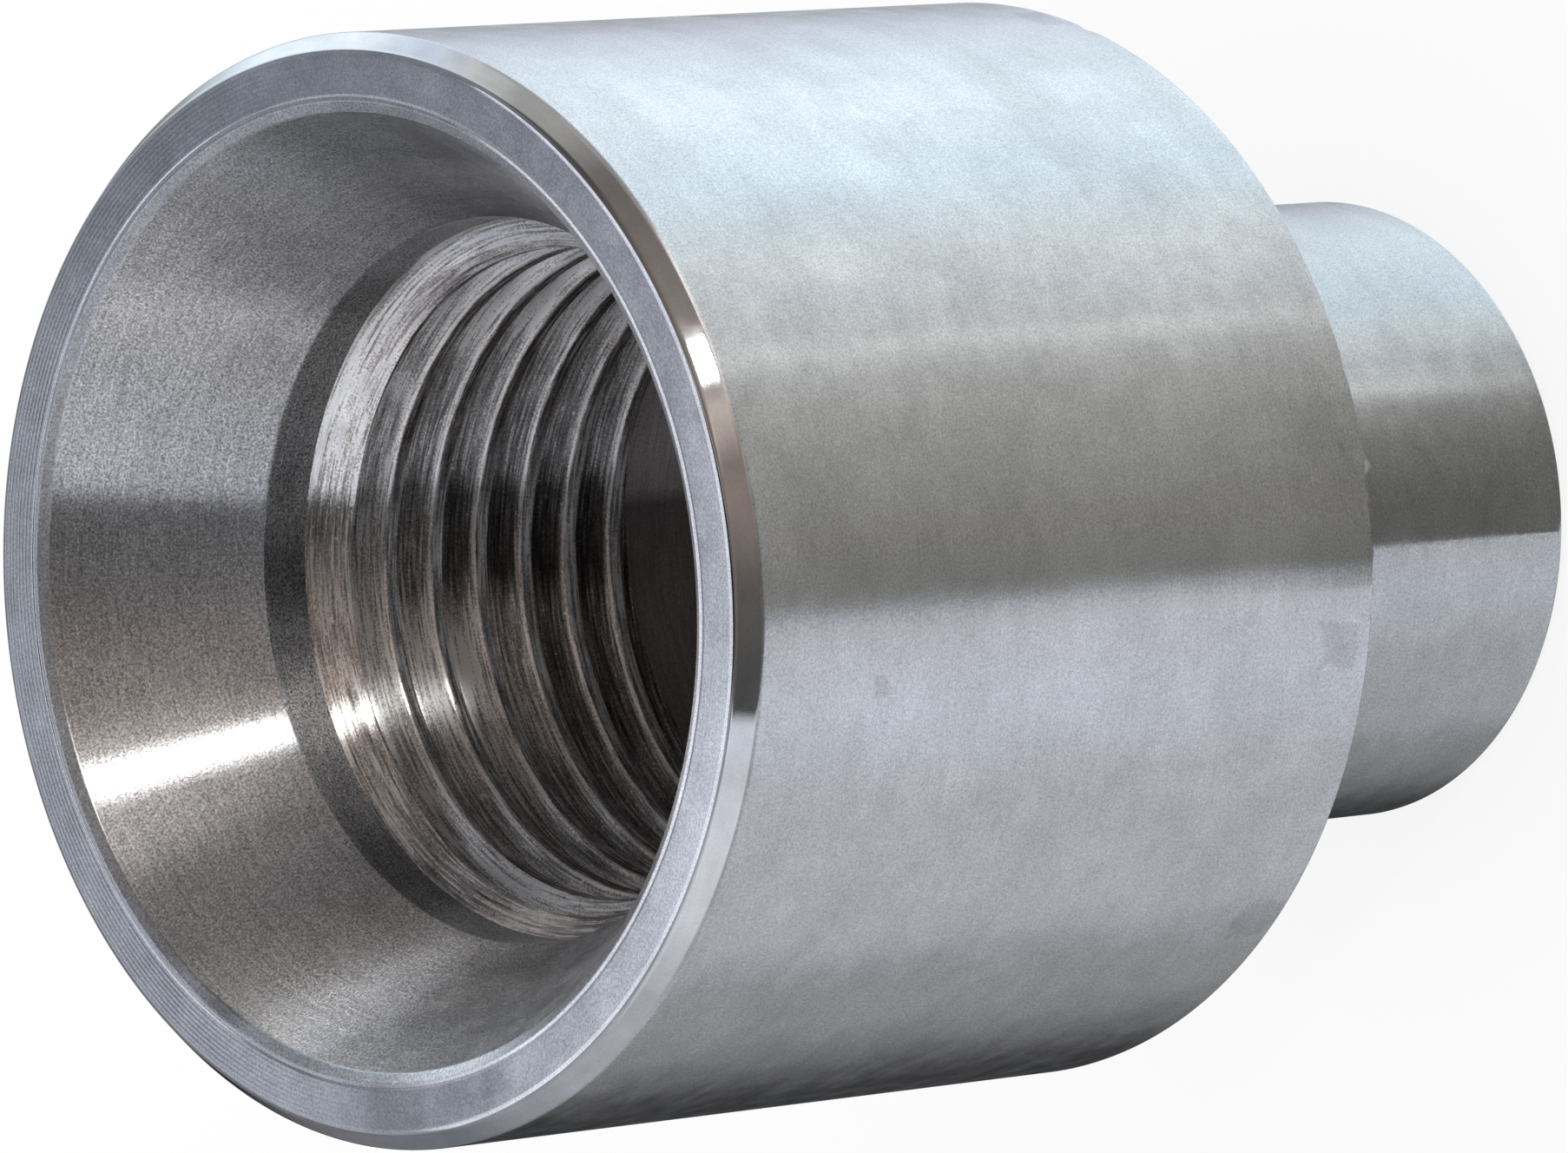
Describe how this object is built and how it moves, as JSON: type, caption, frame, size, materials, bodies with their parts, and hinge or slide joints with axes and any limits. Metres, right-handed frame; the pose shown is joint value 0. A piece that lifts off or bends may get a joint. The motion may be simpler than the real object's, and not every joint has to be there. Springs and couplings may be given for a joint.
{
  "type": "thread adapter",
  "caption": "Turned stainless thread adapter: a large head with a conical seat and internal pipe thread, and a slimmer boss with a smaller internal pipe thread.",
  "frame": {"origin": "centre of the boss's end face, on the adapter's axis", "axes": "+Z along the axis, from the boss towards the mouth of the head; X and Y across it, alike"},
  "size_m": [0.032, 0.032, 0.0406],
  "materials": {
    "turned_steel": "bright turned"
  },
  "bodies": {
    "root": {"adapter_body": "turned_steel"}
  },
  "joints": []
}
